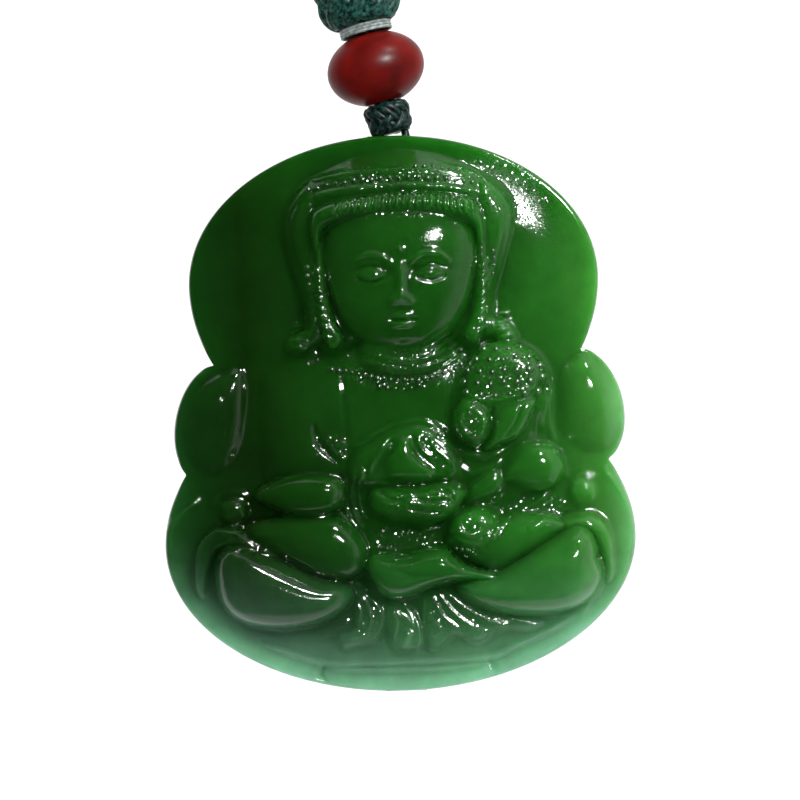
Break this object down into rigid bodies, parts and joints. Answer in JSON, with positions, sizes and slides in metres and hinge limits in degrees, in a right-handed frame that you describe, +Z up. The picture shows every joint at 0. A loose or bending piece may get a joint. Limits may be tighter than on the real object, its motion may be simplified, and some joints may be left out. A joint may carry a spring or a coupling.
{
  "type": "guanyin pendant necklace",
  "caption": "Carved jade pendant of a seated guanyin on a round knotted cord with a red bead above it, shown hanging as worn.",
  "frame": {"origin": "where the cord bears on the nape: the middle of the back of the loop, on its inner side", "axes": "+Z up, the pendant hangs down; the carved front faces -Y; +X to the viewer's right"},
  "size_m": [0.1224, 0.148, 0.3043],
  "materials": {
    "jade": "polished translucent green jade",
    "thread": "dark waxed thread",
    "knot_cord": "dark green cord with a satin sheen",
    "red_stone": "polished dark red carnelian",
    "braided_cord": "dark green braided cord with a satin sheen"
  },
  "bodies": {
    "root": {"jade_pendant": "jade", "hanger_thread": "thread", "lower_knot": "knot_cord", "red_bead": "red_stone", "upper_knot": "knot_cord", "neck_cord": "braided_cord"}
  },
  "joints": []
}
